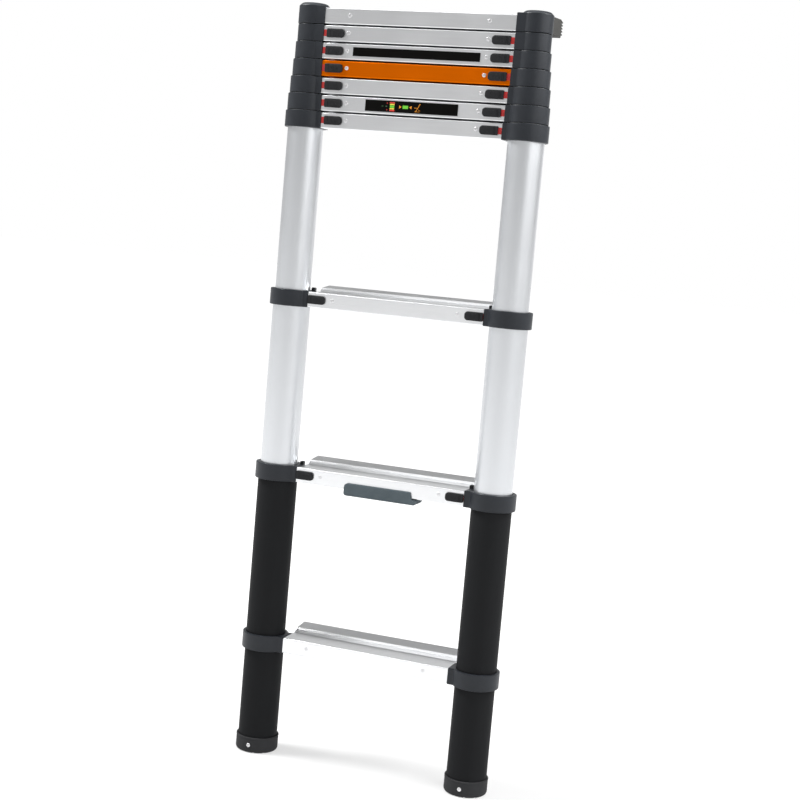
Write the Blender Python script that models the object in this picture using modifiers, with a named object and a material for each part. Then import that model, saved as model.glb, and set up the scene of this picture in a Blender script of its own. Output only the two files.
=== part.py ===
"""Telescoping ladder with nine nested stile sections and ten rungs.

The stiles stand along Z, the rungs run along X, and the climber stands on the -Y side. The two lowest
joints are pulled out and locked, and the six upper rungs rest stacked on each other. The origin is at the
middle of the ladder's box, on the floor.
"""
import math

import bmesh
import bpy
from mathutils import Matrix

MM = 0.001

# Sections and rungs: section 1 carries rungs 1 and 2, and section n carries rung n + 1 after that.
SECTION_COUNT = 9
RUNG_COUNT = 10
SECTIONS_WITH_LOOSE_COLLARS = 3
EXTENDED_SECTIONS = (2, 3)
FIRST_RUNG_HEIGHT = 197.0 * MM
OPEN_PITCH = 300.0 * MM
STACKED_PITCH = 28.6 * MM

# Stile tubes
STILE_SPACING = 387.0 * MM
BASE_TUBE_RADIUS = 34.0 * MM
TUBE_RADIUS_STEP = 2.0 * MM
TUBE_WALL = 1.5 * MM
TUBE_LENGTH = 450.0 * MM
TUBE_TOP_ABOVE_RUNG = 10.5 * MM
ROUND_SIDES = 16

# Collars: a ring round the tube, a block that meets the rung and a tongue inside the rung
FIT_GAP = 0.3 * MM
COLLAR_HALF_HEIGHT = 13.95 * MM
COLLAR_WALL = 5.6 * MM
COLLAR_CHAMFER = 1.0 * MM
COLLAR_LIP = 3.1 * MM
LIP_GAP = 0.4 * MM
BLOCK_FRONT = -23.0 * MM
BLOCK_BACK = 15.0 * MM
BLOCK_HALF_HEIGHT = 13.7 * MM
BLOCK_BEYOND_RING = 0.4 * MM
BASE_BLOCK_REACH = 42.8 * MM
LEAST_BLOCK_REACH = 28.6 * MM
TONGUE_LENGTH = 50.0 * MM
TONGUE_FRONT = 6.0 * MM
TONGUE_BOSS_START = 39.0 * MM

# Top caps and the rubber pads behind them
CAP_RADIUS = 26.2 * MM
CAP_TOP = 21.0 * MM
CAP_EDGE = 3.0 * MM
CAP_ROOF = 4.0 * MM
CAP_NECK_BACK = 26.5 * MM
CAP_STUB_BACK = 50.0 * MM
CAP_STUB_HALF_WIDTH = 12.0 * MM
CAP_STUB_HEIGHT = (-6.0 * MM, 14.0 * MM)
PAD_FRONT = 26.9 * MM
PAD_ROOT = 80.0 * MM
PAD_TIP = 85.5 * MM
PAD_HALF_WIDTH = 20.0 * MM
PAD_HEIGHT = (-10.0 * MM, 21.0 * MM)
PAD_CORNER = 4.0 * MM
PAD_TEETH = 5
PAD_TOOTH_PITCH = 4.9 * MM

# Rungs: a front box with a flat ledge, and a rear tread that is level when the ladder leans
RUNG_FRONT = -21.2 * MM
RUNG_LEDGE_BACK = 29.3 * MM
RUNG_RAMP_BACK = 38.6 * MM
RUNG_BACK = 70.5 * MM
RUNG_TOP = 12.6 * MM
RUNG_RAMP_RISE = 6.9 * MM
RUNG_TREAD_RISE = 10.8 * MM
RUNG_HEIGHT = 25.9 * MM
RUNG_WALL = 1.8 * MM

# Latches: a thumb button on the rung's face, an arm through a slot and a pin through the collar
LATCH_RUNGS = range(2, 10)
LATCH_TRAVEL = 5.5 * MM
BUTTON_LENGTH = 31.5 * MM
BUTTON_GAP = 0.5 * MM
BUTTON_HALF_HEIGHT = 7.25 * MM
BUTTON_THICKNESS = 3.8 * MM
BUTTON_END_RADIUS = 5.5 * MM
NECK_START = 10.0 * MM
NECK_LENGTH = 8.0 * MM
NECK_HALF_HEIGHT = 3.0 * MM
ARM_HALF_HEIGHT = 5.0 * MM
ARM_BACK = 3.0 * MM
SLOT_MARGIN = 1.0 * MM
SLOT_HALF_HEIGHT = 3.4 * MM
PIN_RADIUS = 3.2 * MM
PIN_HOLE_RADIUS = 3.6 * MM
PIN_SIDES = 8

# Feet, carry handle and plates
FOOT_RADIUS = 37.0 * MM
FOOT_HEIGHT = 27.5 * MM
FOOT_FLOOR = 5.0 * MM
FOOT_CHAMFER = 3.5 * MM
HANDLE_HALF_LENGTH = 63.5 * MM
HANDLE_THICKNESS = 3.2 * MM
HANDLE_TOP = -2.0 * MM
HANDLE_BOTTOM = -24.0 * MM
HANDLE_BACK = 14.0 * MM
HANDLE_CORNER = 6.0 * MM
PLATE_THICKNESS = 0.6 * MM
PLATES = {
    "angle_gauge_plate": {"rung": 5, "half_length": 80.5 * MM, "half_height": 9.3 * MM},
    "maker_plate": {"rung": 8, "half_length": 110.0 * MM, "half_height": 7.2 * MM},
}

# The stile axes sit in front of the origin, so that the box from collars to pads is centred on it.
AXIS_Y = (BASE_TUBE_RADIUS + COLLAR_WALL - PAD_TIP) / 2

# Colour, roughness and metallic value of each finish
FINISHES = {
    "black_anodised": ((0.012, 0.012, 0.014), 0.35, 0.0),
    "satin_aluminium": ((0.72, 0.73, 0.75), 0.38, 1.0),
    "orange_anodised": ((0.66, 0.16, 0.004), 0.4, 0.3),
    "charcoal_plastic": ((0.035, 0.038, 0.043), 0.5, 0.0),
    "button_plastic": ((0.025, 0.028, 0.032), 0.55, 0.0),
    "rubber": ((0.03, 0.03, 0.029), 0.8, 0.0),
    "plate_print": ((0.01, 0.009, 0.008), 0.3, 0.0),
}

SIDES = {"left": 1, "right": -1}  # the way from each stile towards the middle of the rungs


def tube_radius(section):
    return BASE_TUBE_RADIUS - TUBE_RADIUS_STEP * (section - 1)


def collar_radius(rung):
    return CAP_RADIUS if rung == RUNG_COUNT else tube_radius(carrier(rung)) + COLLAR_WALL


def carrier(rung):
    """The section that carries a rung."""
    return max(1, rung - 1)


def block_reach(rung):
    """How far a collar's block stands out from the stile's axis towards the rung."""
    if carrier(rung) == 1:
        return BASE_BLOCK_REACH
    return max(collar_radius(rung) + BLOCK_BEYOND_RING, LEAST_BLOCK_REACH)


def rung_height(rung):
    """Height of a rung's centre above the floor, with only the lowest joints pulled out."""
    height = FIRST_RUNG_HEIGHT
    for upper in range(2, rung + 1):
        opened = upper == 2 or carrier(upper) in EXTENDED_SECTIONS
        height += OPEN_PITCH if opened else STACKED_PITCH
    return height


def new_collection(name):
    collection = bpy.data.collections.new(name)
    bpy.context.scene.collection.children.link(collection)
    return collection


for old in list(bpy.data.objects):
    bpy.data.objects.remove(old, do_unlink=True)

PARTS = new_collection("telescoping_ladder")
CUTTERS = new_collection("cutters_and_tools")


def new_object(name, mesh):
    obj = bpy.data.objects.new(name, mesh)
    CUTTERS.objects.link(obj)
    obj.display_type = "WIRE"
    obj.hide_render = True
    return obj


def finish_part(obj, finish):
    """Move an object to the parts, with a material of its own and smooth round faces."""
    if obj.modifiers:
        weld = obj.modifiers.new("Weld", "WELD")
        weld.merge_threshold = 0.00001
    CUTTERS.objects.unlink(obj)
    PARTS.objects.link(obj)
    obj.display_type = "TEXTURED"
    obj.hide_render = False
    color, roughness, metallic = FINISHES[finish]
    material = bpy.data.materials.new(obj.name + "_" + finish)
    material.use_nodes = True
    shader = material.node_tree.nodes["Principled BSDF"]
    shader.inputs["Base Color"].default_value = (*color, 1.0)
    shader.inputs["Roughness"].default_value = roughness
    shader.inputs["Metallic"].default_value = metallic
    obj.data.materials.append(material)
    obj.data.shade_smooth()
    obj.data.set_sharp_from_angle(angle=math.radians(30))
    return obj


def box(name, low, high):
    mesh = bpy.data.meshes.new(name)
    size = [top - bottom for bottom, top in zip(low, high)]
    centre = [(top + bottom) / 2 for bottom, top in zip(low, high)]
    shape = bmesh.new()
    bmesh.ops.create_cube(shape, size=1.0, matrix=Matrix.Translation(centre) @ Matrix.Diagonal((*size, 1.0)))
    shape.to_mesh(mesh)
    shape.free()
    return new_object(name, mesh)


def cylinder(name, radius, start, end, along="Z", sides=ROUND_SIDES):
    """A cylinder between two places on its own axis."""
    mesh = bpy.data.meshes.new(name)
    turn = Matrix.Rotation(math.radians(90), 4, "Y") if along == "X" else Matrix.Identity(4)
    middle = Matrix.Translation((0.0, 0.0, (start + end) / 2))
    shape = bmesh.new()
    bmesh.ops.create_cone(shape, cap_ends=True, segments=sides, radius1=radius, radius2=radius,
                          depth=abs(end - start), matrix=turn @ middle)
    shape.to_mesh(mesh)
    shape.free()
    return new_object(name, mesh)


def turned(name, profile):
    """A solid of revolution from (radius, height) points, running down its outer side."""
    mesh = bpy.data.meshes.new(name)
    shape = bmesh.new()
    points = [shape.verts.new((radius, 0.0, height)) for radius, height in profile]
    for first, second in zip(points, points[1:]):
        shape.edges.new((first, second))
    shape.to_mesh(mesh)
    shape.free()
    obj = new_object(name, mesh)
    screw = obj.modifiers.new("Turn", "SCREW")
    screw.steps = ROUND_SIDES
    screw.render_steps = ROUND_SIDES
    screw.use_merge_vertices = True
    screw.merge_threshold = 0.00001
    return obj


def extruded(name, outlines, low, high, plane):
    """Flat outlines (the first one outside, any others holes) stretched from low to high."""
    turns = {"XY": (0, 0, 0), "XZ": (90, 0, 0), "YZ": (90, 0, 90)}
    curve = bpy.data.curves.new(name, "CURVE")
    curve.dimensions = "2D"
    curve.fill_mode = "BOTH"
    curve.extrude = (high - low) / 2
    for outline in outlines:
        spline = curve.splines.new("POLY")
        spline.points.add(len(outline) - 1)
        spline.use_cyclic_u = True
        for point, (across, up) in zip(spline.points, outline):
            point.co = (across, up, 0.0, 1.0)
    flat = bpy.data.objects.new(name + "_outline", curve)
    flat.rotation_euler = [math.radians(angle) for angle in turns[plane]]
    way = -1.0 if plane == "XZ" else 1.0
    normal = {"XY": (0, 0, 1), "XZ": (0, 1, 0), "YZ": (1, 0, 0)}[plane]
    flat.location = [part * (low + high) / 2 for part in normal]
    CUTTERS.objects.link(flat)
    bpy.context.view_layer.update()
    mesh = bpy.data.meshes.new_from_object(flat.evaluated_get(bpy.context.evaluated_depsgraph_get()))
    shape = bmesh.new()
    shape.from_mesh(mesh)
    bmesh.ops.remove_doubles(shape, verts=shape.verts, dist=0.000005)
    bmesh.ops.recalc_face_normals(shape, faces=shape.faces)
    shape.to_mesh(mesh)
    shape.free()
    mesh.transform(flat.matrix_world)
    bpy.data.objects.remove(flat, do_unlink=True)
    return new_object(name, mesh)


def combine(target, operation, tool):
    """Join a tool to the target or cut it away. The tool is drawn in the target's own frame."""
    tool.name = target.name + "_" + tool.name
    tool.parent = target
    boolean = target.modifiers.new(operation.title(), "BOOLEAN")
    boolean.operation = operation
    boolean.solver = "EXACT"
    boolean.object = tool


def arc(centre, radius, start, end, steps=4):
    """Points on an arc, angles in degrees."""
    angles = [math.radians(start + (end - start) * step / steps) for step in range(steps + 1)]
    return [(centre[0] + radius * math.cos(angle), centre[1] + radius * math.sin(angle)) for angle in angles]


def section_frame(section):
    """An empty at the height of the section's upper rung, on the plane of the stile axes."""
    empty = bpy.data.objects.new("section_%d_frame" % section, None)
    empty.location = (0.0, AXIS_Y, rung_height(section + 1))
    PARTS.objects.link(empty)
    return empty


def place(obj, frame, location):
    obj.parent = frame
    obj.location = location


def collar_disc(name, radius):
    """A collar's outer body before it is bored, with chamfered edges."""
    half, edge = COLLAR_HALF_HEIGHT, COLLAR_CHAMFER
    return turned(name, [(0.0, half), (radius - edge, half), (radius, half - edge),
                         (radius, edge - half), (radius - edge, -half), (0.0, -half)])


def cap_disc(name):
    """A top cap's outer body, with a sloping edge and a slightly raised crown."""
    return turned(name, [(0.0, CAP_TOP), (CAP_RADIUS - 2 * CAP_EDGE, CAP_TOP - 0.4 * MM),
                         (CAP_RADIUS - 0.8 * MM, CAP_TOP - CAP_EDGE), (CAP_RADIUS, CAP_TOP - 2 * CAP_EDGE),
                         (CAP_RADIUS, COLLAR_CHAMFER - COLLAR_HALF_HEIGHT),
                         (CAP_RADIUS - COLLAR_CHAMFER, -COLLAR_HALF_HEIGHT), (0.0, -COLLAR_HALF_HEIGHT)])


def add_block_and_tongue(target, rung, way):
    """The collar's block beside the rung and the tongue that fills the rung's end."""
    reach = block_reach(rung)
    ends = sorted((0.3 * reach * way, reach * way))
    low = (ends[0], BLOCK_FRONT, -BLOCK_HALF_HEIGHT)
    high = (ends[1], BLOCK_BACK, BLOCK_HALF_HEIGHT)
    combine(target, "UNION", box("block", low, high))
    inside_front = RUNG_FRONT + RUNG_WALL + FIT_GAP
    inside_back = RUNG_LEDGE_BACK - RUNG_WALL - FIT_GAP
    root, boss, end = (reach - 5.0 * MM, reach + TONGUE_BOSS_START, reach + TONGUE_LENGTH)
    outline = [(root * way, TONGUE_FRONT), (boss * way, TONGUE_FRONT), (boss * way, inside_front),
               (end * way, inside_front), (end * way, inside_back), (root * way, inside_back)]
    top = RUNG_TOP - RUNG_WALL - FIT_GAP
    bottom = RUNG_TOP - RUNG_HEIGHT + RUNG_WALL + FIT_GAP
    combine(target, "UNION", extruded("tongue", [outline], bottom, top, "XY"))


def cut_pin_hole(target, height, far, way):
    hole = cylinder("pin_hole", PIN_HOLE_RADIUS, 0.0, far * way, "X", PIN_SIDES)
    combine(target, "DIFFERENCE", hole)
    hole.location.z = height


def tube_bottom(section):
    """Lower end of a section's tube, measured from the section's own frame."""
    if section == 1:
        return FOOT_FLOOR + FIT_GAP - rung_height(2)
    return TUBE_TOP_ABOVE_RUNG - TUBE_LENGTH


def bore_tube(target, section, way, top):
    """Bore a tube and drill the holes that the latch pins enter."""
    radius = tube_radius(section)
    bottom = tube_bottom(section)
    combine(target, "DIFFERENCE", cylinder("bore", radius - TUBE_WALL, bottom - 1.0 * MM, top))
    if section > 1:
        cut_pin_hole(target, -OPEN_PITCH, radius + 1.0 * MM, way)


def make_stile(section, side, way, frame):
    """One side of a section: a tube with its collar, apart in the lower sections and joined in the others."""
    radius = tube_radius(section)
    upper_rung = section + 1
    location = (-way * STILE_SPACING / 2, 0.0, 0.0)
    loose = section <= SECTIONS_WITH_LOOSE_COLLARS
    last = section == SECTION_COUNT
    name = ("tube_%d_%s" if loose else "stile_%d_%s") % (section, side)
    tube = cylinder(name, radius, tube_bottom(section), TUBE_TOP_ABOVE_RUNG)
    place(tube, frame, location)
    if loose:
        bore_tube(tube, section, way, TUBE_TOP_ABOVE_RUNG + 1.0 * MM)
        cut_pin_hole(tube, 0.0, radius + 1.0 * MM, way)
        finish_part(tube, "black_anodised" if section == 1 else "satin_aluminium")
        make_collar(upper_rung, side, way, frame, location, tube_radius(section + 1) + LIP_GAP)
        return
    disc = cap_disc("cap") if last else collar_disc("collar", collar_radius(upper_rung))
    combine(tube, "UNION", disc)
    add_block_and_tongue(tube, upper_rung, way)
    if last:
        width = PAD_HALF_WIDTH
        neck = box("neck", (-width, 0.0, PAD_HEIGHT[0]), (width, CAP_NECK_BACK, CAP_TOP - 2 * CAP_EDGE))
        combine(tube, "UNION", neck)
        half, (low, high) = CAP_STUB_HALF_WIDTH, CAP_STUB_HEIGHT
        combine(tube, "UNION", box("stub", (-half, CAP_NECK_BACK / 2, low), (half, CAP_STUB_BACK, high)))
        bore_tube(tube, section, way, CAP_TOP - CAP_ROOF - 2 * CAP_EDGE)
    else:
        bore_tube(tube, section, way, COLLAR_HALF_HEIGHT + 1.0 * MM)
        cut_pin_hole(tube, 0.0, block_reach(upper_rung) + 1.0 * MM, way)
    finish_part(tube, "satin_aluminium")


def make_collar(rung, side, way, frame, location, lip_radius):
    """A separate collar with its block, tongue, stepped bore and latch hole."""
    half = COLLAR_HALF_HEIGHT
    collar = collar_disc("collar_%d_%s" % (rung, side), collar_radius(rung))
    place(collar, frame, location)
    add_block_and_tongue(collar, rung, way)
    bore = tube_radius(carrier(rung)) + FIT_GAP
    above, below = half + 1.0 * MM, -half - 1.0 * MM
    profile = [(0.0, above), (bore, above), (bore, below), (0.0, below)]
    if lip_radius:
        step = half - COLLAR_LIP
        profile[1:2] = [(lip_radius, above), (lip_radius, step), (bore, step)]
    combine(collar, "DIFFERENCE", turned("bore", profile))
    if rung in LATCH_RUNGS:
        cut_pin_hole(collar, 0.0, block_reach(rung) + 1.0 * MM, way)
    finish_part(collar, "charcoal_plastic")


def rung_outlines():
    """The rung's outer outline and its two hollow cells, as (back, up) points."""
    top = [(RUNG_FRONT, RUNG_TOP), (RUNG_LEDGE_BACK, RUNG_TOP), (RUNG_RAMP_BACK, RUNG_TOP + RUNG_RAMP_RISE),
           (RUNG_BACK, RUNG_TOP + RUNG_TREAD_RISE)]
    bottom = [(back, up - RUNG_HEIGHT) for back, up in reversed(top)]
    wall = RUNG_WALL
    front_cell = [(RUNG_FRONT + wall, RUNG_TOP - wall), (RUNG_LEDGE_BACK - wall, RUNG_TOP - wall),
                  (RUNG_LEDGE_BACK - wall, RUNG_TOP - RUNG_HEIGHT + wall),
                  (RUNG_FRONT + wall, RUNG_TOP - RUNG_HEIGHT + wall)]
    rear_wall = 1.2 * wall
    rear_top = [(RUNG_LEDGE_BACK + wall / 2, RUNG_TOP - rear_wall),
                (RUNG_RAMP_BACK, RUNG_TOP + RUNG_RAMP_RISE - rear_wall),
                (RUNG_BACK - wall, RUNG_TOP + RUNG_TREAD_RISE - 1.3 * rear_wall)]
    rear_bottom = [(back, up - RUNG_HEIGHT + 2 * rear_wall) for back, up in reversed(rear_top)]
    return [top + bottom, front_cell, rear_top + rear_bottom]


def make_rung(rung, frame, height):
    half = STILE_SPACING / 2 - block_reach(rung) - FIT_GAP
    bar = extruded("rung_%d" % rung, rung_outlines(), -half, half, "YZ")
    place(bar, frame, (0.0, 0.0, height))
    if rung in LATCH_RUNGS:
        for side, way in SIDES.items():
            start = half - (NECK_START - SLOT_MARGIN)
            end = start - NECK_LENGTH - LATCH_TRAVEL - 2 * SLOT_MARGIN
            left, right = sorted((-way * start, -way * end))
            slot = box("slot_" + side, (left, RUNG_FRONT - 1.0 * MM, -SLOT_HALF_HEIGHT),
                       (right, RUNG_FRONT + RUNG_WALL + 1.0 * MM, SLOT_HALF_HEIGHT))
            combine(bar, "DIFFERENCE", slot)
    finish_part(bar, "orange_anodised" if rung == 7 else "satin_aluminium")


def make_latch(rung, side, way, frame):
    """A latch, drawn from the face of its collar's block towards the middle of the rung."""
    rest = 0.0 if carrier(rung) + 1 in EXTENDED_SECTIONS else LATCH_TRAVEL
    front = RUNG_FRONT - FIT_GAP
    near, far = BUTTON_GAP, BUTTON_GAP + BUTTON_LENGTH
    half, corner = BUTTON_HALF_HEIGHT, BUTTON_END_RADIUS
    outline = [(near, half), (near, -half)]
    outline += arc((far - corner, corner - half), corner, -90, 0)
    outline += arc((far - corner, half - corner), corner, 0, 90)
    outline = [(across * way, up) for across, up in outline]
    latch = extruded("latch_%d_%s" % (rung, side), [outline], front - BUTTON_THICKNESS, front, "XZ")
    left, right = sorted((NECK_START * way, (NECK_START + NECK_LENGTH) * way))
    inside = RUNG_FRONT + RUNG_WALL + FIT_GAP
    neck = box("neck", (left, front - 0.5 * MM, -NECK_HALF_HEIGHT), (right, inside + 1.0 * MM, NECK_HALF_HEIGHT))
    combine(latch, "UNION", neck)
    arm = box("arm", (left, inside, -ARM_HALF_HEIGHT), (right, ARM_BACK, ARM_HALF_HEIGHT))
    combine(latch, "UNION", arm)
    tip = tube_radius(carrier(rung) + 1) + FIT_GAP - block_reach(rung)
    pin = cylinder("pin", PIN_RADIUS, tip * way, (NECK_START + 1.0 * MM) * way, "X", PIN_SIDES)
    combine(latch, "UNION", pin)
    face = STILE_SPACING / 2 - block_reach(rung)
    place(latch, frame, (-way * (face - rest), 0.0, 0.0))
    finish_part(latch, "button_plastic")


def make_foot(side, way, frame):
    """A rubber cup that the base tube stands in."""
    inner = BASE_TUBE_RADIUS + FIT_GAP
    foot = turned("foot_" + side, [
        (0.0, FOOT_FLOOR), (inner, FOOT_FLOOR), (inner, FOOT_HEIGHT), (FOOT_RADIUS, FOOT_HEIGHT),
        (FOOT_RADIUS, FOOT_CHAMFER), (FOOT_RADIUS - FOOT_CHAMFER, 0.0), (0.0, 0.0)])
    place(foot, frame, (-way * STILE_SPACING / 2, 0.0, -rung_height(2)))
    finish_part(foot, "rubber")


def make_handle(frame):
    """The carry handle: a plate down the front of rung 2 that turns back under it."""
    skin = RUNG_FRONT - FIT_GAP
    front = skin - HANDLE_THICKNESS
    under = RUNG_TOP - RUNG_HEIGHT - FIT_GAP
    corner = HANDLE_CORNER
    outline = [(skin, HANDLE_TOP), (front, HANDLE_TOP - 1.0 * MM)]
    outline += arc((front + corner, HANDLE_BOTTOM + corner), corner, 180, 270)
    outline += arc((HANDLE_BACK - corner, HANDLE_BOTTOM + corner), corner, 270, 360)
    outline += [(HANDLE_BACK, under), (skin, under)]
    half = HANDLE_HALF_LENGTH
    handle = extruded("carry_handle", [outline], -half, half, "YZ")
    place(handle, frame, (0.0, 0.0, 0.0))
    finish_part(handle, "charcoal_plastic")


def make_pad(side, way, frame):
    """A rubber pad on the cap's stub, with blunt teeth that rest against the wall."""
    low, high = PAD_HEIGHT
    corner = PAD_CORNER
    outline = [(PAD_FRONT, high - 3.0 * MM), (PAD_FRONT, low)]
    outline += arc((PAD_ROOT - corner, low + corner), corner, 270, 360, 3)
    first_tooth = high - corner + 1.5 * MM - PAD_TOOTH_PITCH * PAD_TEETH
    for tooth in range(PAD_TEETH):
        base = first_tooth + tooth * PAD_TOOTH_PITCH
        outline += [(PAD_ROOT, base + 0.8 * MM), (PAD_TIP, base + 0.42 * PAD_TOOTH_PITCH),
                    (PAD_TIP, base + 0.72 * PAD_TOOTH_PITCH), (PAD_ROOT, base + PAD_TOOTH_PITCH)]
    outline += [(PAD_ROOT - 2.5 * MM, high - 0.5 * MM), (PAD_ROOT - 2 * corner, high)]
    pad = extruded("wall_pad_" + side, [outline], -PAD_HALF_WIDTH, PAD_HALF_WIDTH, "YZ")
    half = CAP_STUB_HALF_WIDTH + FIT_GAP
    bottom, top = CAP_STUB_HEIGHT
    socket = box("socket", (-half, PAD_FRONT - 1.0 * MM, bottom - FIT_GAP),
                 (half, CAP_STUB_BACK + FIT_GAP, top + FIT_GAP))
    combine(pad, "DIFFERENCE", socket)
    place(pad, frame, (-way * STILE_SPACING / 2, 0.0, 0.0))
    finish_part(pad, "rubber")


def make_plate(name, rung, half_length, half_height, frame):
    back = RUNG_FRONT - FIT_GAP
    plate = box(name, (-half_length, back - PLATE_THICKNESS, -half_height), (half_length, back, half_height))
    place(plate, frame, (0.0, 0.0, 0.0))
    finish_part(plate, "plate_print")


frames = {section: section_frame(section) for section in range(1, SECTION_COUNT + 1)}

for side, way in SIDES.items():
    for section, frame in frames.items():
        make_stile(section, side, way, frame)
    make_collar(1, side, way, frames[1], (-way * STILE_SPACING / 2, 0.0, -OPEN_PITCH), None)
    make_foot(side, way, frames[1])
    make_pad(side, way, frames[SECTION_COUNT])
    for rung in LATCH_RUNGS:
        make_latch(rung, side, way, frames[carrier(rung)])

make_rung(1, frames[1], -OPEN_PITCH)
for rung in range(2, RUNG_COUNT + 1):
    make_rung(rung, frames[carrier(rung)], 0.0)
make_handle(frames[1])
for plate_name, size in PLATES.items():
    make_plate(plate_name, frame=frames[carrier(size["rung"])], **size)
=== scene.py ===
# %% [markdown]
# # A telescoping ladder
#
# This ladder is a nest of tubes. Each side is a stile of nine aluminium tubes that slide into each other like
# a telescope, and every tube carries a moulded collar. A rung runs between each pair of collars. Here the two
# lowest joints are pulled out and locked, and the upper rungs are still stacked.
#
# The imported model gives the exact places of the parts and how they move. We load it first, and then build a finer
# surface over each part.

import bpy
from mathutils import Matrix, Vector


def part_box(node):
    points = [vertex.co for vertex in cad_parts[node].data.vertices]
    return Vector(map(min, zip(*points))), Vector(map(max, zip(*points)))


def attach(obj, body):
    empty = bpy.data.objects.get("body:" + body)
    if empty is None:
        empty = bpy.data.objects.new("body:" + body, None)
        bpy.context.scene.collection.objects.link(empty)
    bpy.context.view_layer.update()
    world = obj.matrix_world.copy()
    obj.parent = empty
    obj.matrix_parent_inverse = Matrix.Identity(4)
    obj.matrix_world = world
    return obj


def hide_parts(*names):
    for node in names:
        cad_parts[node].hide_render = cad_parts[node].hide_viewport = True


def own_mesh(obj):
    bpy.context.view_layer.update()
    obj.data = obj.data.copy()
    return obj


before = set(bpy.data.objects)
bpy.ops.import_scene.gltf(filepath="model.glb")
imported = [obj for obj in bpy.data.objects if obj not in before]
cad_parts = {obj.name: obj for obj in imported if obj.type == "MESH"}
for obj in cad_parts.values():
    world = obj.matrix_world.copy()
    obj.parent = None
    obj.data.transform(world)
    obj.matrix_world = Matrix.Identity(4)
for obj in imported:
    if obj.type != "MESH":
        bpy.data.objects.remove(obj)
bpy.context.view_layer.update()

# %%
import math

import bmesh
import bpy
from mathutils import Matrix, Vector

MM = 0.001

# %% [markdown]
# ## Where everything is
#
# A rung's box tells us its height, and the box of the lowest tube tells us where a stile's axis runs. The
# tubes' radius gets 2 mm smaller from one section to the next, so one rule gives all nine of them. Rung 1
# and rung 2 belong to the lowest section, and every later section carries one rung at its top.

# %% Read the ladder's places from the frame
RUNGS = range(1, 11)
SECTIONS = range(1, 10)
LATCH_RUNGS = range(2, 10)
SIDES = {"left": 1, "right": -1}  # the way from each stile towards the middle of the rungs
LOOSE_SECTIONS = 3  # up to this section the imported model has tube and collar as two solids, and then as one
RUNG_TOP = 12.6 * MM  # the flat ledge, above the rung's centre
RUNG_HEIGHT = 25.9 * MM
TUBE_STEP = 2.0 * MM
COLLAR_WALL = 5.6 * MM
CAP_RADIUS = 26.2 * MM
FIT_GAP = 0.3 * MM

low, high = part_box("tube_1_left")
AXIS_X = abs(low.x + high.x) / 2
AXIS_Y = (low.y + high.y) / 2
BASE_RADIUS = (high.y - low.y) / 2
rung_z = {rung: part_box("rung_%d" % rung)[0].z + RUNG_HEIGHT - RUNG_TOP for rung in RUNGS}
rung_half = {rung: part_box("rung_%d" % rung)[1].x for rung in RUNGS}
print("stiles at x = +-%.1f mm, rungs at" % (AXIS_X / MM), [round(z / MM) for z in rung_z.values()])


# %%
def tube_radius(section):
    return BASE_RADIUS - TUBE_STEP * (section - 1)


def carrier(rung):
    """The section that a rung is fixed to."""
    return max(1, rung - 1)


def block_reach(rung):
    """From the stile's axis to the face where the collar meets its rung."""
    return AXIS_X - rung_half[rung] - FIT_GAP


def collar_radius(rung):
    return CAP_RADIUS if rung == 10 else tube_radius(carrier(rung)) + COLLAR_WALL


print("collar radii:", [round(collar_radius(rung) / MM, 1) for rung in RUNGS])

# %% [markdown]
# ## Helpers for shapes
#
# Three ways of making a mesh cover almost the whole ladder. A *lathe* spins a profile round the stile's axis,
# which suits tubes, feet and screw heads. A *prism* stretches a flat outline, which suits the extruded rungs.
# A *loft* joins a stack of loops, which suits the collars, because their outline is a circle that flows into
# a block. Boolean modifiers then drill the holes.

# %% Keep all working objects in one place
SAME_POINT = 0.001 * MM  # points closer than this are merged
WELD_GAP = 0.004 * MM
workshop = bpy.data.collections.new("ladder_pieces")
bpy.context.scene.collection.children.link(workshop)


def mesh_from(name, shape):
    """Turn a bmesh into a mesh with its faces pointing out."""
    bmesh.ops.recalc_face_normals(shape, faces=shape.faces)
    mesh = bpy.data.meshes.new(name)
    shape.to_mesh(mesh)
    shape.free()
    return mesh


# %% A lathe
def lathe(name, profile, steps=96, closed=True):
    """Spin (radius, height) points round Z. An open profile starts and ends on the axis."""
    shape = bmesh.new()
    points = [shape.verts.new((radius, 0, height)) for radius, height in profile]
    pairs = list(zip(points, points[1:] + points[:1]))[: None if closed else -1]
    edges = [shape.edges.new(pair) for pair in pairs]
    bmesh.ops.spin(shape, geom=points + edges, cent=(0, 0, 0), axis=(0, 0, 1), angle=math.tau, steps=steps,
                   use_merge=True)
    bmesh.ops.remove_doubles(shape, verts=shape.verts, dist=SAME_POINT)
    return mesh_from(name, shape)


# %% A loft
def loft(name, rows, caps=False):
    """Join loops of equal length. Without caps the last loop joins the first, like a ring."""
    shape = bmesh.new()
    loops = [[shape.verts.new(point) for point in row] for row in rows]
    steps = list(zip(loops, loops[1:])) + ([] if caps else [(loops[-1], loops[0])])
    for lower, upper in steps:
        for index in range(len(lower)):
            after = (index + 1) % len(lower)
            shape.faces.new((lower[index], lower[after], upper[after], upper[index]))
    if caps:
        shape.faces.new(loops[0])
        shape.faces.new(loops[-1])
    return mesh_from(name, shape)


# %% A prism
TURNS = {"XY": (0, 0, 0), "XZ": (90, 0, 0), "YZ": (90, 0, 90)}
ALONG = {"XY": Vector((0, 0, 1)), "XZ": Vector((0, 1, 0)), "YZ": Vector((1, 0, 0))}


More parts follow.
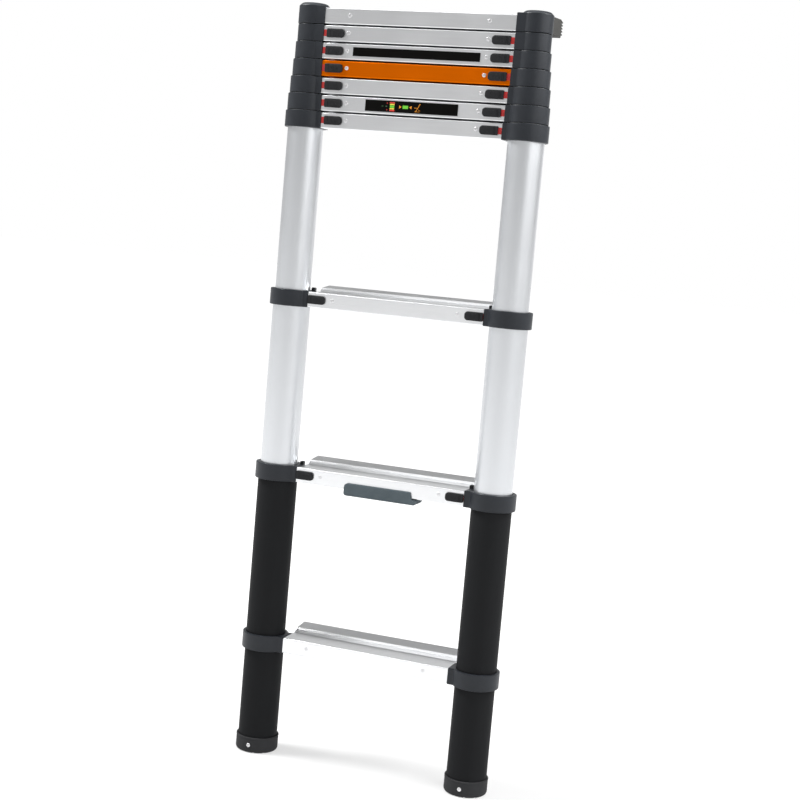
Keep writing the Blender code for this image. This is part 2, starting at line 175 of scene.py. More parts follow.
def prism(name, outlines, start, end, plane="XY"):
    """Stretch flat outlines, the first one outside and any others holes, from start to end."""
    curve = bpy.data.curves.new(name, "CURVE")
    curve.dimensions = "2D"
    curve.fill_mode = "BOTH"
    curve.extrude = (end - start) / 2
    for outline in outlines:
        spline = curve.splines.new("POLY")
        spline.points.add(len(outline) - 1)
        spline.use_cyclic_u = True
        for point, (across, up) in zip(spline.points, outline):
            point.co = (across, up, 0, 1)
    flat = bpy.data.objects.new(name, curve)
    flat.rotation_euler = [math.radians(angle) for angle in TURNS[plane]]
    flat.location = ALONG[plane] * (start + end) / 2
    workshop.objects.link(flat)
    bpy.context.view_layer.update()
    filled = bpy.data.meshes.new_from_object(flat.evaluated_get(bpy.context.evaluated_depsgraph_get()))
    filled.transform(flat.matrix_world)
    bpy.data.objects.remove(flat)
    shape = bmesh.new()
    shape.from_mesh(filled)
    bmesh.ops.remove_doubles(shape, verts=shape.verts, dist=SAME_POINT)
    bmesh.ops.dissolve_limit(shape, angle_limit=math.radians(0.5), verts=shape.verts, edges=shape.edges)
    return mesh_from(name, shape)


def block(name, corner, opposite):
    """A plain box between two corners."""
    (x0, y0, z0), (x1, y1, z1) = corner, opposite
    left, right = sorted((x0, x1))
    return prism(name, [[(left, y0), (right, y0), (right, y1), (left, y1)]], z0, z1)


# %% Arcs and rounded corners for outlines
def arc(centre, radius, start, end, steps=6):
    """Points on an arc, with angles in degrees."""
    turns = [math.radians(start + (end - start) * step / steps) for step in range(steps + 1)]
    return [(centre[0] + radius * math.cos(turn), centre[1] + radius * math.sin(turn)) for turn in turns]


def rounded(points, radii, steps=4):
    """Round the corners of an outline, each with its own radius."""
    result = []
    for index, radius in enumerate(radii):
        before, here, after = (Vector(points[(index + offset) % len(points)]) for offset in (-1, 0, 1))
        if not radius:
            result.append(tuple(here))
            continue
        first, second = (before - here).normalized(), (after - here).normalized()
        half_angle = first.angle(second) / 2
        reach = radius / math.tan(half_angle)
        centre = here + (first + second).normalized() * radius / math.sin(half_angle)
        start, finish = here + first * reach - centre, here + second * reach - centre
        for step in range(steps + 1):
            if step in (0, steps):
                spoke = finish if step else start
            else:
                spoke = start.slerp(finish, step / steps)
            result.append(tuple(centre + spoke.normalized() * radius))
    return result


# %% Modifiers, applied as soon as they are set
def worked(mesh, *modifiers):
    """The mesh after (kind, settings) modifiers."""
    blank = bpy.data.objects.new(mesh.name, mesh)
    workshop.objects.link(blank)
    for kind, settings in modifiers:
        modifier = blank.modifiers.new(kind, kind)
        for setting, value in settings.items():
            setattr(modifier, setting, value)
    bpy.context.view_layer.update()
    result = bpy.data.meshes.new_from_object(blank.evaluated_get(bpy.context.evaluated_depsgraph_get()))
    bpy.data.objects.remove(blank)
    result.name = mesh.name
    return result


def combined(mesh, operation, *tools):
    """Join tools to a mesh or cut them from it."""
    holders = [bpy.data.objects.new("tool", tool) for tool in tools]
    for holder in holders:
        workshop.objects.link(holder)
    steps = [("BOOLEAN", {"operation": operation, "solver": "EXACT", "object": holder}) for holder in holders]
    result = worked(mesh, *steps, ("WELD", {"merge_threshold": WELD_GAP}))
    for holder in holders:
        bpy.data.objects.remove(holder)
    return result


def softened(mesh, width, segments=2, angle=40):
    """Round a mesh's sharp edges, so that they catch the light."""
    return worked(mesh, ("BEVEL", {"width": width, "segments": segments, "limit_method": "ANGLE",
                                   "angle_limit": math.radians(angle)}))


def sided(mesh, way):
    """A copy of a mesh that was made for the left stile, mirrored for the right one."""
    copy = mesh.copy()
    copy.transform(Matrix.Diagonal((way, 1, 1, 1)))
    if way < 0:
        copy.flip_normals()
    return copy


# %% [markdown]
# ## Finishes
#
# Real finishes are never one flat colour. Anodised aluminium has a fine grain from the die that it was
# pressed through, moulded plastic has a dimpled skin, and rubber is dull and slightly speckled. Each finish
# here is a small network of nodes. Writing node networks by hand is long, so one class wraps a socket and
# lets us use ordinary Python arithmetic: the sum of two values adds a Math node.

# %% Shader values as Python expressions
class Value:
    """One socket of a material, with arithmetic that adds Math nodes."""

    def __init__(self, socket):
        self.socket = socket

    def node(self, kind, settings, sockets, output=0):
        """Add any other node: its settings first, then the values or links of its sockets."""
        made = self.socket.id_data.nodes.new(kind)
        for setting, value in settings.items():
            if setting == "stops":
                elements = made.color_ramp.elements
                for element, (place, color) in zip(elements, (value[0], value[-1])):
                    element.position, element.color = place, color
                for place, color in value[1:-1]:
                    elements.new(place).color = color
            else:
                setattr(made, setting, value)
        for key, value in sockets.items():
            if isinstance(value, Value):
                self.socket.id_data.links.new(value.socket, made.inputs[key])
            else:
                made.inputs[key].default_value = value
        return Value(made.outputs[output])

    def math(self, operation, first, second):
        return self.node("ShaderNodeMath", {"operation": operation}, {0: first, 1: second})

    def __add__(self, other):
        return self.math("ADD", self, other)

    def __sub__(self, other):
        return self.math("SUBTRACT", self, other)

    def __mul__(self, other):
        return self.math("MULTIPLY", self, other)

    def stretched(self, x, y, z):
        """A position stretched along each axis, so that noise turns into streaks."""
        return self.node("ShaderNodeVectorMath", {"operation": "MULTIPLY"}, {0: self, 1: (x, y, z)})

    def noise(self, scale, detail=2.0):
        return self.node("ShaderNodeTexNoise", {}, {"Vector": self, "Scale": scale, "Detail": detail})

    def ramp(self, *stops):
        return self.node("ShaderNodeValToRGB", {"stops": stops}, {0: self})

    def blend(self, first, second):
        """A colour between two others, with this value as the share of the second."""
        return self.node("ShaderNodeMix", {"data_type": "RGBA"}, {0: self, 6: first, 7: second}, output=2)

    def bump(self, strength, depth):
        return self.node("ShaderNodeBump", {}, {"Strength": strength, "Distance": depth, "Height": self})

    def feed(self, socket):
        self.socket.id_data.links.new(self.socket, socket)


# %% Start a finish with its uniform settings
def new_finish(name, **uniform):
    """A new material; returns it, its shader's sockets and the position on the piece in metres."""
    material = bpy.data.materials.new(name)
    material.use_nodes = True
    sockets = material.node_tree.nodes["Principled BSDF"].inputs
    for key, value in uniform.items():
        sockets[key.replace("_", " ")].default_value = value
    place = Value(material.node_tree.nodes.new("ShaderNodeTexCoord").outputs["Object"])
    return material, sockets, place


def gray(level):
    return (level, level, level, 1.0)


# %% [markdown]
# ### Aluminium
#
# The tubes and the rungs are anodised. The silver tubes look soft and cloudy, with hardly visible lines along
# their length. The rungs come out of their die with a clear grain along X. In both the colour wanders by a
# few percent, the roughness wanders more, and a bump of a few micrometres breaks up the highlights. The lowest
# tubes are dyed black. So little of the metal shows through that their finish isn't metallic at all.

# %% One recipe for every anodised finish
def anodised(name, color, roughness, metallic, grain, wander=0.03, scratch=0.006, specular=0.5):
    """Anodised metal with its grain along the axis that has the smallest number in grain."""
    material, sockets, place = new_finish(name, Metallic=metallic, Specular_IOR_Level=specular)
    lines = place.stretched(*grain).noise(1.0, 3.0)
    clouds = place.noise(14.0, 3.0)
    mix = lines * 0.55 + clouds * 0.45
    darker = tuple(channel * (1 - wander) for channel in color) + (1.0,)
    lighter = tuple(min(1.0, channel * (1 + wander)) for channel in color) + (1.0,)
    mix.blend(darker, lighter).feed(sockets["Base Color"])
    (lines * 0.1 + clouds * 0.08 + (roughness - 0.09)).feed(sockets["Roughness"])
    lines.bump(0.35, scratch * MM).feed(sockets["Normal"])
    return material


silver_tube = anodised("silver_tube", (0.68, 0.695, 0.715), 0.36, 1.0, (900, 900, 18))
silver_rung = anodised("silver_rung", (0.8, 0.808, 0.82), 0.34, 1.0, (14, 1300, 1300), 0.04, 0.012)
orange_rung = anodised("orange_rung", (0.72, 0.138, 0.0), 0.42, 1.0, (14, 1300, 1300), 0.05, 0.012)
black_tube = anodised("black_tube", (0.015, 0.0155, 0.0165), 0.5, 0.0, (900, 900, 18), 0.15, 0.004, 0.03)


# %% [markdown]
# ### Plastic and rubber
#
# The collars, buttons and handle are moulded plastic with a fine spark-eroded skin: many tiny dimples, and a
# roughness that drifts over the surface. Rubbed spots are a little lighter. Rubber is rougher, so its
# highlights are wide and faint, and it has deeper dimples and a stronger speckle.

# %% One recipe for everything moulded
def moulded(name, color, roughness, dimples=2600.0, depth=0.02, wander=0.2, specular=0.5):
    """Plastic, rubber or ink: dimples is their number per metre, and depth is theirs in millimetres."""
    material, sockets, place = new_finish(name, Specular_IOR_Level=specular)
    skin = place.noise(dimples)
    drift = place.noise(35.0, 4.0)
    rub = drift * 1.4 + skin * 0.6 - 0.5
    darker = tuple(channel * (1 - wander) for channel in color) + (1.0,)
    lighter = tuple(channel * (1 + wander) for channel in color) + (1.0,)
    rub.blend(darker, lighter).feed(sockets["Base Color"])
    (drift * 0.16 + skin * 0.08 + (roughness - 0.12)).feed(sockets["Roughness"])
    skin.bump(0.5, depth * MM).feed(sockets["Normal"])
    return material


collar_plastic = moulded("collar_plastic", (0.0155, 0.018, 0.0225), 0.42, specular=0.3)
button_plastic = moulded("button_plastic", (0.011, 0.0115, 0.013), 0.5, specular=0.25)
handle_plastic = moulded("handle_plastic", (0.085, 0.105, 0.117), 0.7, 2200.0, 0.03, specular=0.08)
foot_rubber = moulded("foot_rubber", (0.02, 0.0207, 0.0225), 0.72, 1500.0, 0.05, 0.3, 0.3)
pad_rubber = moulded("pad_rubber", (0.032, 0.0312, 0.029), 0.75, 1500.0, 0.05, 0.3, 0.3)
red_mark = moulded("red_mark", (0.46, 0.02, 0.018), 0.45, 1800.0, 0.01, 0.12)
plate_black = moulded("plate_black", (0.002, 0.0018, 0.0015), 0.5, 1200.0, 0.004, 0.2, 0.05)

# %% [markdown]
# ### Small metal
#
# Screw and rivet heads are plated steel with a fine grain. The cross cut into a screw head is a finish of its
# own, almost black, because hardly any light comes out of so small a recess.

# %% Plated steel
plated_steel = anodised("plated_steel", (0.72, 0.72, 0.73), 0.42, 1.0, (700, 700, 700), 0.03, 0.01)
recess_shadow = moulded("recess_shadow", (0.008, 0.008, 0.009), 0.8, specular=0.1)


# %% Printed inks for the gauge plate
def ink(name, color):
    return moulded("ink_" + name, color, 0.4, 1600.0, 0.003, 0.06)


inks = {
    "red": ink("red", (0.55, 0.03, 0.02)),
    "yellow": ink("yellow", (0.75, 0.6, 0.06)),
    "green": ink("green", (0.13, 0.5, 0.03)),
    "orange": ink("orange", (0.75, 0.27, 0.01)),
    "dim_green": ink("dim_green", (0.03, 0.09, 0.03)),
}
print("finishes:", len(bpy.data.materials))

# %% [markdown]
# ## Placing a piece
#
# A piece is an object with a finish. It rides on one of the ladder's moving bodies and, where it stands for a plain
# solid, hides that solid.

# %% Make an object and tell the frame about it
SHARP_ANGLE = math.radians(30)


def piece(name, mesh, finish, body, at=(0, 0, 0), stands_for=()):
    """Place a mesh. Without a finish it keeps the materials that it has."""
    if finish is not None:
        mesh.materials.clear()
        mesh.materials.append(finish)
    mesh.shade_smooth()
    mesh.set_sharp_from_angle(angle=SHARP_ANGLE)
    made = bpy.data.objects.new(name, mesh)
    made.location = at
    workshop.objects.link(made)
    weighted = made.modifiers.new("Even shading", "WEIGHTED_NORMAL")
    weighted.keep_sharp = True
    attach(made, body)
    if stands_for:
        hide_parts(*stands_for)
    return made


def stile(side, height):
    """A point on a stile's axis."""
    return (-SIDES[side] * AXIS_X, AXIS_Y, height)


# %% [markdown]
# ## The tubes
#
# Each tube is a thin wall: a closed profile on the lathe. Its two rims are bevelled a little, as a deburring
# tool leaves them. A latch pin passes through a hole at the rung's height, and the hole near the lower end is
# the one that the pin of the section below springs into when the joint is fully open.

# %% Turn and drill the tubes
TUBE_WALL = 1.5 * MM
RIM = 0.4 * MM
PIN_HOLE = 3.6 * MM
OPEN_PITCH = 300 * MM
TUBE_TOP = 10.5 * MM  # above the rung's centre
TUBE_LENGTH = 450 * MM
FOOT_FLOOR = 5.3 * MM


def tube_profile(radius, bottom, top):
    inner = radius - TUBE_WALL
    return [(inner + RIM, bottom), (radius - RIM, bottom), (radius, bottom + RIM), (radius, top - RIM),
            (radius - RIM, top), (inner + RIM, top), (inner, top - RIM), (inner, bottom + RIM)]


def pin_drill(height, reach):
    """A round drill along X, from the stile's axis towards the rung."""
    drill = lathe("drill", [(0, 0), (PIN_HOLE, 0), (PIN_HOLE, reach), (0, reach)], 24, closed=False)
    drill.transform(Matrix.Translation((0, 0, height)) @ Matrix.Rotation(math.radians(90), 4, "Y"))
    return drill


def tube_mesh(section):
    """A tube with its origin at the height of its upper rung."""
    radius = tube_radius(section)
    bottom = FOOT_FLOOR - rung_z[2] if section == 1 else TUBE_TOP - TUBE_LENGTH
    tube = lathe("tube_%d" % section, tube_profile(radius, bottom, TUBE_TOP))
    heights = [0.0] * (section < SECTIONS[-1]) + [-OPEN_PITCH] * (section > 1)
    return combined(tube, "DIFFERENCE", *[pin_drill(height, radius + MM) for height in heights])


for section in SECTIONS:
    shape = tube_mesh(section)
    finish, slot = (black_tube, "black_tube") if section == 1 else (silver_tube, "silver_tube")
    for side, way in SIDES.items():
        node = ("tube_%d_%s" if section <= LOOSE_SECTIONS else "stile_%d_%s") % (section, side)
        piece("smooth_tube_%d_%s" % (section, side), sided(shape, way), finish, "section_%d" % section,
              stile(side, rung_z[section + 1]), [node])
print("tube radii:", [round(tube_radius(section) / MM) for section in SECTIONS])

# %% [markdown]
# ## The collars
#
# Seen from above, a collar is a circle that flows into a block with a flat front, and the block meets the
# rung. The outline is walked once round, and every point keeps its direction from the axis. So the same
# directions on a smaller circle give the bore, and the loft between the two is made of clean quads.
# Small steps inwards at the top and bottom make the rounded edges.

# %% The outline of a collar seen from above
BLOCK_FRONT = -23.0 * MM
BLOCK_BACK = 15.0 * MM
FRONT_FILLET = 4.0 * MM
BACK_FILLET = 2.0 * MM
BLOCK_CORNER = 1.2 * MM


def collar_outline(radius, reach):
    """Points round a collar on the left stile, from the middle of the block's face round the back."""
    def fillet(line, size, steps=5):
        away = abs(line) + size
        across = math.sqrt((radius + size) ** 2 - away**2)
        return across, math.degrees(math.atan2(away, across))

    back_x, back_turn = fillet(BLOCK_BACK, BACK_FILLET)
    front_x, front_turn = fillet(BLOCK_FRONT, FRONT_FILLET)
    points = [(reach, BLOCK_BACK * share) for share in (0.3, 0.6)]
    points += arc((reach - BLOCK_CORNER, BLOCK_BACK - BLOCK_CORNER), BLOCK_CORNER, 0, 90, 4)
    points += arc((back_x, BLOCK_BACK + BACK_FILLET), BACK_FILLET, 270, 180 + back_turn, 4)
    points += arc((0, 0), radius, back_turn, 360 - front_turn, 72)[1:-1]
    points += arc((front_x, BLOCK_FRONT - FRONT_FILLET), FRONT_FILLET, 180 - front_turn, 90, 6)
    points += arc((reach - BLOCK_CORNER, BLOCK_FRONT + BLOCK_CORNER), BLOCK_CORNER, 270, 360, 4)
    return points + [(reach, BLOCK_FRONT * share) for share in (0.6, 0.3, 0.0)]


def inset(outline, depth):
    """Move each point of an outline inwards."""
    result = []
    for index, point in enumerate(outline):
        before, after = Vector(outline[index - 1]), Vector(outline[(index + 1) % len(outline)])
        along = (after - before).normalized()
        result.append((point[0] - along.y * depth, point[1] + along.x * depth))
    return result


def on_circle(outline, radius):
    """The outline's directions from the axis, on a circle."""
    return [tuple(Vector(point).normalized() * radius) for point in outline]


# %% Loft the collar bodies
COLLAR_HALF = 13.95 * MM
COLLAR_EDGE = 1.3 * MM
LIP = 3.1 * MM
LIP_GAP = 0.45 * MM
LIP_EDGE = 0.8 * MM
BORE_EDGE = 0.6 * MM


def collar_rows(outline, bottom, top):
    """The outer skin of a collar, from its bottom rim to its top rim, with rounded edges."""
    stack = []
    for depth, height in ((1.0, 0.0), (0.3, 0.3), (0.0, 1.0)):
        stack.append((inset(outline, COLLAR_EDGE * depth), bottom + COLLAR_EDGE * height))
    stack += [(loop, top + bottom - height) for loop, height in reversed(stack)]
    return [[(x, y, height) for x, y in loop] for loop, height in stack]


def ring_collar(rung):
    """A collar that a tube passes through, with an upper lip round the next tube."""
    outline = collar_outline(collar_radius(rung), block_reach(rung))
    bore = tube_radius(carrier(rung)) + FIT_GAP
    lip = bore if rung == 1 else tube_radius(carrier(rung) + 1) + LIP_GAP
    rows = collar_rows(outline, -COLLAR_HALF, COLLAR_HALF)
    inside = [(lip + LIP_EDGE, COLLAR_HALF), (lip, COLLAR_HALF - LIP_EDGE), (lip, COLLAR_HALF - LIP),
              (bore, COLLAR_HALF - LIP - 0.01 * MM), (bore, BORE_EDGE - COLLAR_HALF),
              (bore + BORE_EDGE, -COLLAR_HALF)]
    rows += [[(x, y, height) for x, y in on_circle(outline, radius)] for radius, height in inside]
    return loft("collar_%d" % rung, rows)


# %% [markdown]
# A tongue moulded with the collar goes into the rung's hollow front cell, and the rung's screw bites into its
# thick end. The same tongue is needed for every collar, so it has its own function. The latch's pin runs
# through the block, and its hole is drilled last.

# %% The tongue and the pin's hole
RUNG_FRONT = -21.2 * MM
TONGUE_HEIGHT = (-11.2 * MM, 10.5 * MM)
TONGUE_FRONT, TONGUE_BACK = 6 * MM, 27.2 * MM
TONGUE_ROOT, TONGUE_BOSS, TONGUE_END = -5 * MM, 39 * MM, 50 * MM  # beyond the collar's face


def tongue(reach):
    """The thick end of the tongue reaches forward to the screw."""
    root, boss, end = reach + TONGUE_ROOT, reach + TONGUE_BOSS, reach + TONGUE_END
    front = RUNG_FRONT + 2.1 * MM
    outline = rounded([(root, TONGUE_FRONT), (boss, TONGUE_FRONT), (boss, front), (end, front), (end, TONGUE_BACK),
                       (root, TONGUE_BACK)], [0, 2 * MM, MM, MM, MM, 0])
    return prism("tongue", [outline], *TONGUE_HEIGHT)


def finished_collar(rung, body_mesh):
    reach = block_reach(rung)
    mesh = combined(body_mesh, "UNION", tongue(reach))
    if rung in LATCH_RUNGS:
        mesh = combined(mesh, "DIFFERENCE", pin_drill(0.0, reach + MM))
    return mesh


for rung in RUNGS[:-1]:
    shape = finished_collar(rung, ring_collar(rung))
    loose = carrier(rung) <= LOOSE_SECTIONS
    for side, way in SIDES.items():
        node = "collar_%d_%s" % (rung, side) if loose else "stile_%d_%s" % (carrier(rung), side)
        piece("moulded_collar_%d_%s" % (rung, side), sided(shape, way), collar_plastic,
              "section_%d" % carrier(rung), stile(side, rung_z[rung]), [node])
print("collar vertices:", len(shape.vertices))

# %% [markdown]
# ## The top caps and the wall pads
#
# The uppermost collar is closed by a crown. Behind it sits a rubber pad with five blunt teeth, which grips
# the wall when the ladder leans on it. A stub of the cap holds the pad.

# %% The cap
CAP_TOP = 21.0 * MM
CAP_SHOULDER = COLLAR_HALF + 2.2 * MM
PAD_HALF_WIDTH = 20.0 * MM
PAD_FRONT = 26.9 * MM
STUB = ((-12 * MM, 15 * MM, -6 * MM), (12 * MM, 50 * MM, 14 * MM))
CAP_BORE, CAP_BORE_TOP = 18.3 * MM, 11 * MM


def cap_mesh():
    """The block, the round crown, the neck, the pad's stub and the tongue, with a bore for the top tube."""
    reach = block_reach(10)
    outline = collar_outline(CAP_RADIUS - 0.05 * MM, reach)
    lower = loft("cap", collar_rows(outline, -COLLAR_HALF, CAP_SHOULDER), caps=True)
    crown = [(CAP_RADIUS - 5.5 * MM, CAP_TOP - 0.5 * MM), (CAP_RADIUS - 4.2 * MM, CAP_TOP - 1.2 * MM)]
    crown += arc((CAP_RADIUS - 2.2 * MM, CAP_TOP - 6 * MM), 2.2 * MM, 40, 0, 4)
    profile = [(0, CAP_TOP), (CAP_RADIUS * 0.5, CAP_TOP - 0.15 * MM)] + crown
    profile += [(CAP_RADIUS, COLLAR_EDGE - COLLAR_HALF), (CAP_RADIUS - COLLAR_EDGE, -COLLAR_HALF),
                (0, -COLLAR_HALF)]
    round_top = lathe("crown", profile, closed=False)
    neck = block("neck", (-PAD_HALF_WIDTH, 0, -10 * MM), (PAD_HALF_WIDTH, PAD_FRONT - 0.4 * MM, 17 * MM))
    below = -20 * MM
    bore = lathe("bore", [(0, below), (CAP_BORE, below), (CAP_BORE, CAP_BORE_TOP), (0, CAP_BORE_TOP)], closed=False)
    solid = combined(lower, "UNION", round_top, softened(neck, 1.5 * MM), block("stub", *STUB), tongue(reach))
    return combined(solid, "DIFFERENCE", bore)


# %% The toothed pad
TEETH = 5
TOOTH_PITCH = 4.9 * MM
PAD_BOTTOM, PAD_TOP = -8.5 * MM, 21 * MM
TOOTH_ROOT, TOOTH_TIP = 77.5 * MM, 85.5 * MM


def pad_mesh():
    """The pad's outline from the side, with its teeth towards the wall, and a socket for the cap's stub."""
    bottom, top, root, tip = PAD_BOTTOM, PAD_TOP, TOOTH_ROOT, TOOTH_TIP
    side = [(PAD_FRONT, top - 3 * MM), (PAD_FRONT, bottom)]
    side += arc((root - 3 * MM, bottom + 3 * MM), 3 * MM, 270, 360)
    first = top - 1.5 * MM - TOOTH_PITCH * TEETH
    for tooth in range(TEETH):
        base = first + tooth * TOOTH_PITCH
        side += [(root, base + 0.7 * MM), (root + 0.6 * MM, base + 0.9 * MM),
                 (tip - 0.9 * MM, base + 0.38 * TOOTH_PITCH), (tip, base + 0.48 * TOOTH_PITCH),
                 (tip, base + 0.68 * TOOTH_PITCH), (tip - 0.9 * MM, base + 0.78 * TOOTH_PITCH),
                 (root + 0.6 * MM, base + TOOTH_PITCH - 0.2 * MM)]
    side += arc((root - 6 * MM, top - 6 * MM), 6 * MM, 60, 90, 3)
    pad = softened(prism("pad", [side], -PAD_HALF_WIDTH, PAD_HALF_WIDTH, "YZ"), 0.9 * MM, 2, 60)
    socket = block("socket", (-12.3 * MM, 20 * MM, -6.3 * MM), (12.3 * MM, 50.3 * MM, 14.3 * MM))
    return combined(pad, "DIFFERENCE", socket)


cap, pad = cap_mesh(), pad_mesh()
for side, way in SIDES.items():
    place = stile(side, rung_z[10])
    piece("top_cap_" + side, sided(cap, way), collar_plastic, "section_9", place,
          ["stile_9_" + side])
    piece("toothed_pad_" + side, sided(pad, way), pad_rubber, "section_9", place,
          ["wall_pad_" + side])
print("cap vertices:", len(cap.vertices), "pad vertices:", len(pad.vertices))

# %% [markdown]
# ## The rungs
#
# A rung is one long extrusion, so all its shape is in its section. From front to back there is a flat ledge,
# a short steep riser with one thin groove, and a ribbed tread that rises a little, so that it is closer to
# level when the ladder leans. The front edges are rounded. Two hollow cells run through the rung. The latches
# need a slot in the front wall at each end.

# %% The section of a rung
LEDGE_BACK, RISER_BACK, RUNG_BACK = 29.3 * MM, 38.6 * MM, 70.5 * MM
RISER_RISE, TREAD_RISE = 6.9 * MM, 10.8 * MM
RIBS = 5
RUNG_WALL = 1.8 * MM


def groove(start, end, share, width, depth):
    """A small groove across a sloping line, as four points."""
    line = end - start
    along = line.normalized()
    inward = Vector((along.y, -along.x))
    middle = start + line * share
    return [tuple(middle + along * across * width + inward * deep * depth)
            for across, deep in ((-0.5, 0), (-0.25, 1), (0.25, 1), (0.5, 0))]


def rung_outline():
    """The rung's skin, from the front's upper edge over the top and back along the underside."""
    top = [Vector(point) for point in ((RUNG_FRONT, RUNG_TOP), (LEDGE_BACK, RUNG_TOP),
                                       (RISER_BACK, RUNG_TOP + RISER_RISE), (RUNG_BACK, RUNG_TOP + TREAD_RISE))]
    drop = Vector((0, -RUNG_HEIGHT))
    bottom = [point + drop for point in top]
    front = RUNG_FRONT
    outline = arc((front + 1.5 * MM, RUNG_TOP - 1.5 * MM), 1.5 * MM, 180, 90, 5)
    outline += groove(top[0], top[1], 0.97, 1.6 * MM, 0.8 * MM)
    outline += groove(top[1], top[2], 0.5, 1.1 * MM, 0.6 * MM)
    outline += rounded([tuple(top[1]), tuple(top[2]), tuple(top[3])], [0, 0.9 * MM, 0], 3)[1:-1]
    for rib in range(RIBS):
        outline += groove(top[2], top[3], 0.14 + 0.16 * rib, 2.2 * MM, 0.3 * MM)
    rear = [tuple(point) for point in (top[2], top[3], bottom[3], bottom[2])]
    outline += rounded(rear, [0, 1.2 * MM, 1.2 * MM, 0])[1:-1]
    outline += [tuple(bottom[2]), tuple(bottom[1])]
    outline += arc((front + 1.5 * MM, bottom[0].y + 1.5 * MM), 1.5 * MM, 270, 180, 5)
    return outline


def rung_cells():
    """A square cell behind the front wall, and one that follows the riser and the tread."""
    wall, rear_wall = RUNG_WALL, 1.2 * RUNG_WALL
    bottom = RUNG_TOP - RUNG_HEIGHT + wall
    back = LEDGE_BACK - wall
    front_cell = rounded([(RUNG_FRONT + wall, RUNG_TOP - wall), (back, RUNG_TOP - wall), (back, bottom),
                          (RUNG_FRONT + wall, bottom)], [0.2 * MM] * 4, 2)
    upper = [(LEDGE_BACK + wall / 2, RUNG_TOP - rear_wall), (RISER_BACK, RUNG_TOP + RISER_RISE - rear_wall),
             (RUNG_BACK - wall, RUNG_TOP + TREAD_RISE - 1.3 * rear_wall)]
    lower = [(back, up - RUNG_HEIGHT + 2 * rear_wall) for back, up in reversed(upper)]
    return [front_cell, upper + lower]


SLOT_FROM_END, SLOT_LENGTH, SLOT_HALF_HEIGHT = 9 * MM, 15.5 * MM, 3.4 * MM
ORANGE_RUNG = 7


def latch_slot(half, way):
    start = half - SLOT_FROM_END
    return block("slot", (-way * start, RUNG_FRONT - MM, -SLOT_HALF_HEIGHT),
                 (-way * (start - SLOT_LENGTH), RUNG_FRONT + RUNG_WALL + MM, SLOT_HALF_HEIGHT))


for rung in RUNGS:
    half = rung_half[rung]
    finish, slot = (orange_rung, "orange_rung") if rung == ORANGE_RUNG else (silver_rung, "silver_rung")
    shape = prism("rung_%d_skin" % rung, [rung_outline()] + rung_cells(), -half, half, "YZ")
    if rung in LATCH_RUNGS:
        shape = combined(shape, "DIFFERENCE", *[latch_slot(half, way) for way in SIDES.values()])
    piece("extruded_rung_%d" % rung, shape, finish, "section_%d" % carrier(rung),
          (0, AXIS_Y, rung_z[rung]), ["rung_%d" % rung])
print("rung section points:", len(rung_outline()))

# %% [markdown]
# ## The thumb latches
#
# Each latch has a button on the rung's face. The button is a rounded plate with a raised thumb pad, and fine
# ribs run across the pad. Behind it a neck passes through the slot to an arm, and the arm carries the pin
# that enters the tubes. The button starts close to the collar when it is locked, and 5.5 mm further in when
# it is drawn back. Then a red mark shows that the joint is free.

# %% A button, drawn from the collar's face towards the middle of the rung
BUTTON_START, BUTTON_LENGTH = 0.5 * MM, 31.5 * MM
BUTTON_HALF = 7.25 * MM
BUTTON_BACK = RUNG_FRONT - FIT_GAP
LATCH_TRAVEL = 5.5 * MM
OPEN_RUNGS = (2, 3)  # the latches here are locked, and all the others are drawn back
THUMB_RIBS, RIB_PITCH, RIB_WIDTH = 6, 2.4 * MM, MM
ARM = (10 * MM, 18 * MM)
PIN_RADIUS, PIN_EDGE, PIN_END = 3.2 * MM, 0.8 * MM, 12 * MM


def rounded_plate(name, start, end, half, back, front, inner, outer, edge):
    """A plate with its own corner radius at each end and softened front edges."""
    outline = rounded([(start, -half), (end, -half), (end, half), (start, half)], [outer, inner, inner, outer], 6)
    return softened(prism(name, [outline], front, back, "XZ"), edge, 3, 50)


def ridge(name, start, front, back, half, edge):
    """A thin raised bar across the button, between two depths in front of the button's back."""
    bar = block(name, (start, BUTTON_BACK - front, -half), (start + RIB_WIDTH, BUTTON_BACK - back, half))
    return softened(bar, edge, 1)


def button_mesh():
    start, end = BUTTON_START, BUTTON_START + BUTTON_LENGTH
    base = rounded_plate("button", start, end, BUTTON_HALF, BUTTON_BACK, BUTTON_BACK - 3.0 * MM,
                         5.5 * MM, 2.0 * MM, 0.7 * MM)
    pad = rounded_plate("thumb_pad", start + 7.5 * MM, end - 1.2 * MM, BUTTON_HALF - 1.2 * MM,
                        BUTTON_BACK - 0.5 * MM, BUTTON_BACK - 3.5 * MM, 4.5 * MM, MM, 0.4 * MM)
    ribs = [ridge("rib", start + 11 * MM + RIB_PITCH * rib, 3.8 * MM, 2 * MM, 4.2 * MM, 0.25 * MM)
            for rib in range(THUMB_RIBS)]
    stop = ridge("stop", start + 5.6 * MM, 3.7 * MM, MM, 5.6 * MM, 0.3 * MM)
    return combined(base, "UNION", pad, stop, *ribs)


def latch_mesh(rung, button):
    """The button with its neck, arm and pin. The pin ends 0.3 mm short of the next tube."""
    inside = RUNG_FRONT + RUNG_WALL + FIT_GAP
    near, far = ARM
    neck = block("neck", (near, BUTTON_BACK - MM, -3 * MM), (far, inside + MM, 3 * MM))
    arm = softened(block("arm", (near, inside, -5 * MM), (far, 3 * MM, 5 * MM)), 0.4 * MM, 1)
    tip = tube_radius(carrier(rung) + 1) + FIT_GAP - block_reach(rung)
    profile = [(0, tip), (PIN_RADIUS - PIN_EDGE, tip), (PIN_RADIUS, tip + PIN_EDGE)]
    pin = lathe("pin", profile + [(PIN_RADIUS, PIN_END), (0, PIN_END)], 32, closed=False)
    pin.transform(Matrix.Rotation(math.radians(90), 4, "Y"))
    return combined(button, "UNION", neck, arm, pin)


